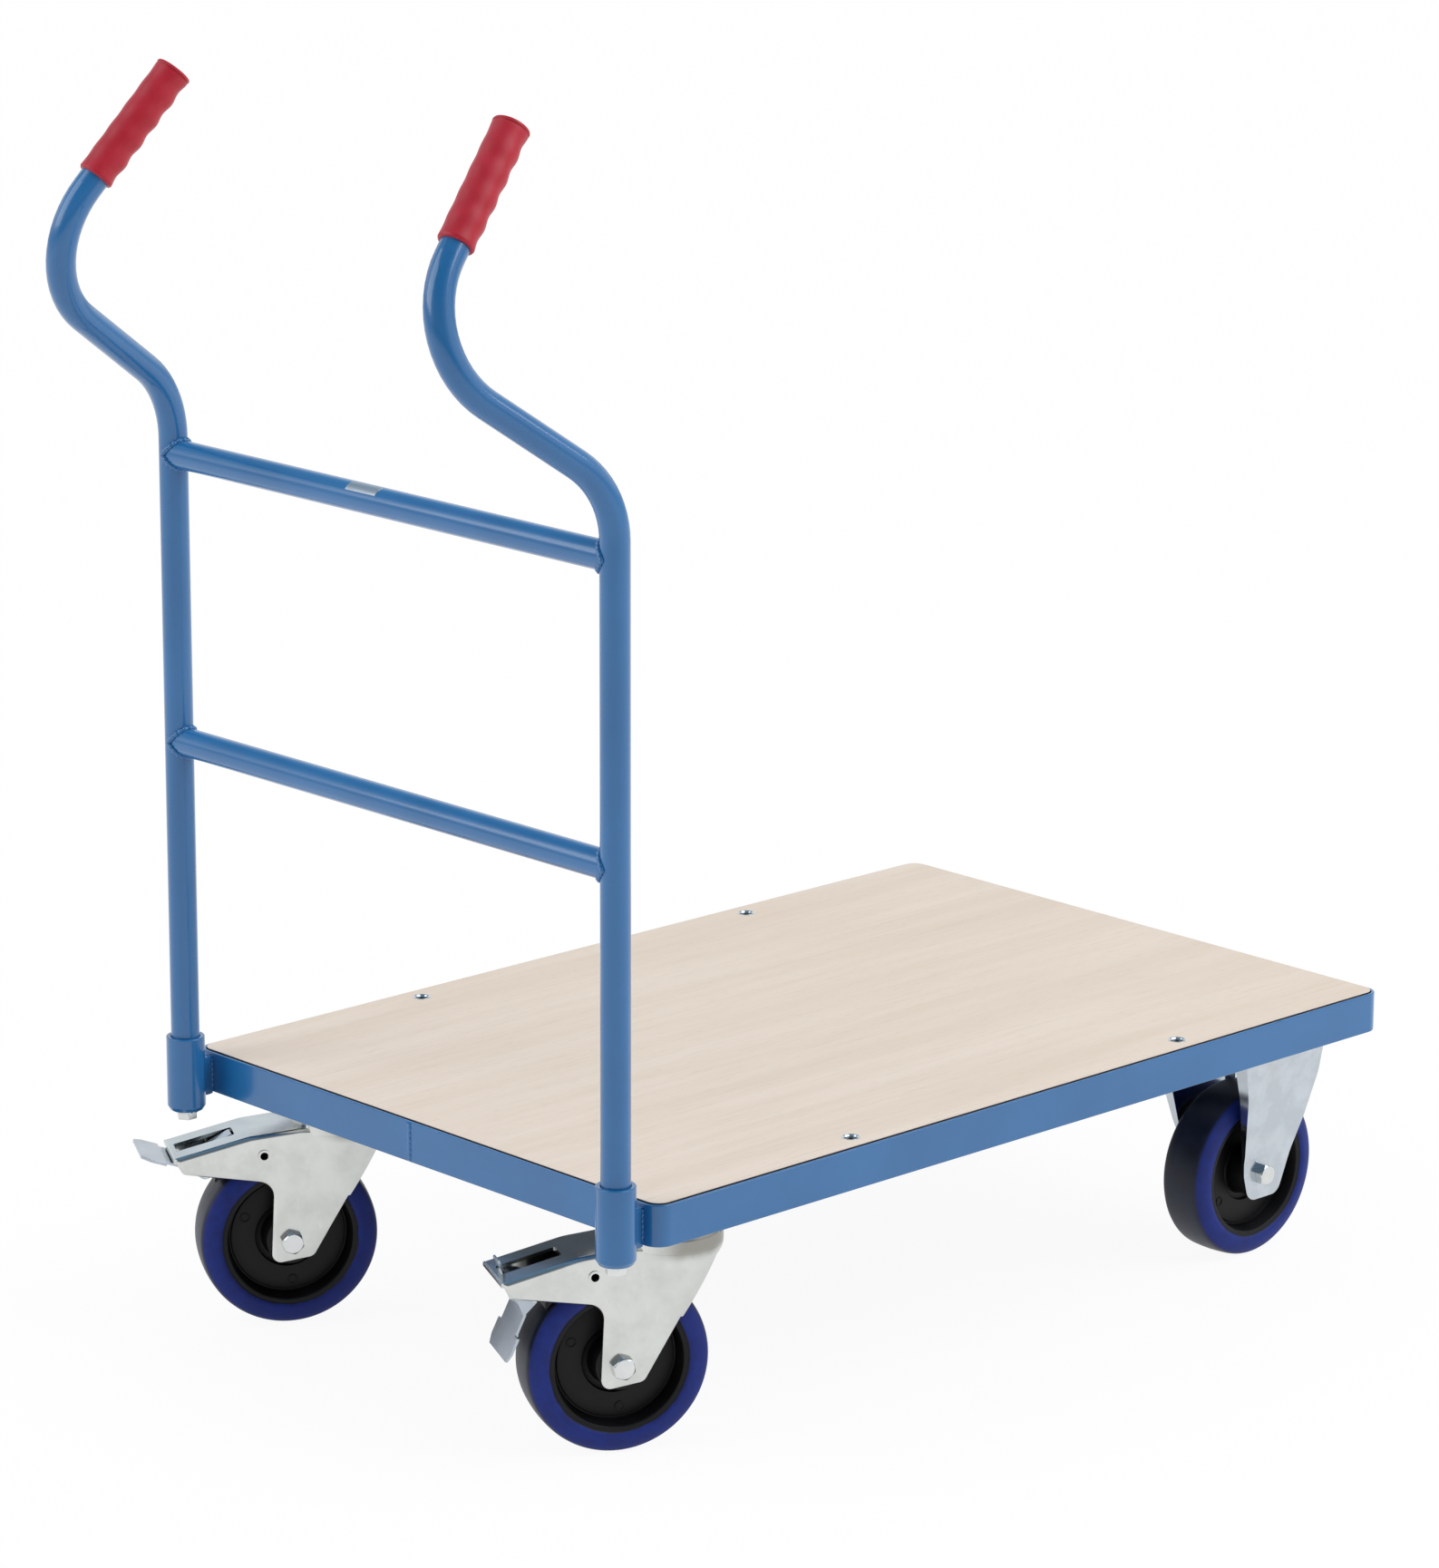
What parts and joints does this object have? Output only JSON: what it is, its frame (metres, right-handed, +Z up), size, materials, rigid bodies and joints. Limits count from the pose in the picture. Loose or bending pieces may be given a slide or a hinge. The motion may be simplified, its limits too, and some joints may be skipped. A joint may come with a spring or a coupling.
{
  "type": "flatbed platform truck",
  "caption": "Flatbed platform truck: steel-framed wooden deck, bent two-post push handle with rails and grips, swivel castors with brake pedals and fixed castors.",
  "frame": {"origin": "on the floor, under the middle of the overall length and width as it stands at rest (castors turned and one pedal up)", "axes": "+X from the handle end to the fixed castors, +Y to the left, +Z up"},
  "size_m": [1.0833, 0.6251, 1.1375],
  "materials": {
    "frame_blue": "satin",
    "board_wood": "satin",
    "screw_zinc": "satin",
    "castor_zinc": "satin",
    "steel": "satin",
    "lever_black": "matte",
    "tyre_blue": "matte",
    "wheel_black": "matte",
    "grip_red": "satin",
    "plug_black": "matte",
    "plate_aluminium": "satin"
  },
  "bodies": {
    "truck": {"axle_fasteners_front": "screw_zinc", "axle_tubes_front": "steel", "blank_plate": "plate_aluminium", "castor_bolts": "screw_zinc", "castor_nuts": "screw_zinc", "castor_pads": "frame_blue", "cross_member_front": "frame_blue", "cross_member_rear": "frame_blue", "deck_board": "board_wood", "deck_cup_washers": "screw_zinc", "deck_nuts": "screw_zinc", "deck_screws": "screw_zinc", "fork_front_left": "castor_zinc", "fork_front_right": "castor_zinc", "frame_rim": "frame_blue", "frame_seam": "frame_blue", "grip_left": "grip_red", "grip_right": "grip_red", "handle_bolts": "screw_zinc", "handle_plugs": "plug_black", "handle_post_left": "frame_blue", "handle_post_right": "frame_blue", "handle_washers": "screw_zinc", "kingpins": "steel", "lock_rings": "steel", "rail_lower": "frame_blue", "rail_upper": "frame_blue", "rail_welds": "frame_blue", "socket_left": "frame_blue", "socket_right": "frame_blue", "socket_webs": "frame_blue", "swivel_plate_rear_left": "castor_zinc", "swivel_plate_rear_right": "castor_zinc"},
    "swivel_right": {"fork_rear_right": "castor_zinc", "swivel_balls_rear_right": "steel", "brake_pins_rear_right": "steel", "axle_fasteners_rear_right": "screw_zinc", "axle_tube_rear_right": "steel"},
    "pedal_right": {"brake_pedal_right": "castor_zinc"},
    "lever_right": {"brake_lever_right": "lever_black"},
    "wheel_rear_right": {"tyre_rear_right": "tyre_blue", "hub_rear_right": "wheel_black", "bearings_rear_right": "steel"},
    "wheel_front_right": {"tyre_front_right": "tyre_blue", "hub_front_right": "wheel_black", "bearings_front_right": "steel"},
    "swivel_left": {"fork_rear_left": "castor_zinc", "swivel_balls_rear_left": "steel", "brake_pins_rear_left": "steel", "axle_fasteners_rear_left": "screw_zinc", "axle_tube_rear_left": "steel"},
    "pedal_left": {"brake_pedal_left": "castor_zinc"},
    "lever_left": {"brake_lever_left": "lever_black"},
    "wheel_rear_left": {"tyre_rear_left": "tyre_blue", "hub_rear_left": "wheel_black", "bearings_rear_left": "steel"},
    "wheel_front_left": {"tyre_front_left": "tyre_blue", "hub_front_left": "wheel_black", "bearings_front_left": "steel"}
  },
  "joints": [
    {"name": "swivel_right_turn", "type": "hinge", "parent": "truck", "child": "swivel_right", "pos_m": [-0.2646, -0.22579, 0.188], "axis": [0, 0, 1], "continuous": true},
    {"name": "wheel_rear_right_spin", "type": "hinge", "parent": "swivel_right", "child": "wheel_rear_right", "pos_m": [-0.31008, -0.20361, 0.08], "axis": [-0.4384, -0.8988, 0], "continuous": true},
    {"name": "pedal_right_rock", "type": "hinge", "parent": "swivel_right", "child": "pedal_right", "pos_m": [-0.37695, -0.17099, 0.147], "axis": [0.4384, 0.8988, 0], "range_deg": [0, 85]},
    {"name": "lever_right_tilt", "type": "hinge", "parent": "swivel_right", "child": "lever_right", "pos_m": [-0.34008, -0.18898, 0.16605], "axis": [0.4384, 0.8988, 0], "range_deg": [0, 6]},
    {"name": "swivel_left_turn", "type": "hinge", "parent": "truck", "child": "swivel_left", "pos_m": [-0.2646, 0.20221, 0.188], "axis": [0, 0, 1], "continuous": true},
    {"name": "wheel_rear_left_spin", "type": "hinge", "parent": "swivel_left", "child": "wheel_rear_left", "pos_m": [-0.30864, 0.22713, 0.08], "axis": [-0.4924, -0.8704, 0], "continuous": true},
    {"name": "pedal_left_rock", "type": "hinge", "parent": "swivel_left", "child": "pedal_left", "pos_m": [-0.37339, 0.26376, 0.147], "axis": [0.4924, 0.8704, 0], "range_deg": [-85, 0]},
    {"name": "lever_left_tilt", "type": "hinge", "parent": "swivel_left", "child": "lever_left", "pos_m": [-0.33769, 0.24356, 0.16605], "axis": [0.4924, 0.8704, 0], "range_deg": [-6, 0]},
    {"name": "wheel_front_right_spin", "type": "hinge", "parent": "truck", "child": "wheel_front_right", "pos_m": [0.4464, -0.22579, 0.08], "axis": [0, 1, 0], "continuous": true},
    {"name": "wheel_front_left_spin", "type": "hinge", "parent": "truck", "child": "wheel_front_left", "pos_m": [0.4464, 0.20221, 0.08], "axis": [0, 1, 0], "continuous": true}
  ],
  "couplings": [
    {"joint": "lever_right_tilt", "follows": "pedal_right_rock", "ratio": 0.070583},
    {"joint": "lever_left_tilt", "follows": "pedal_left_rock", "ratio": 0.070583}
  ]
}
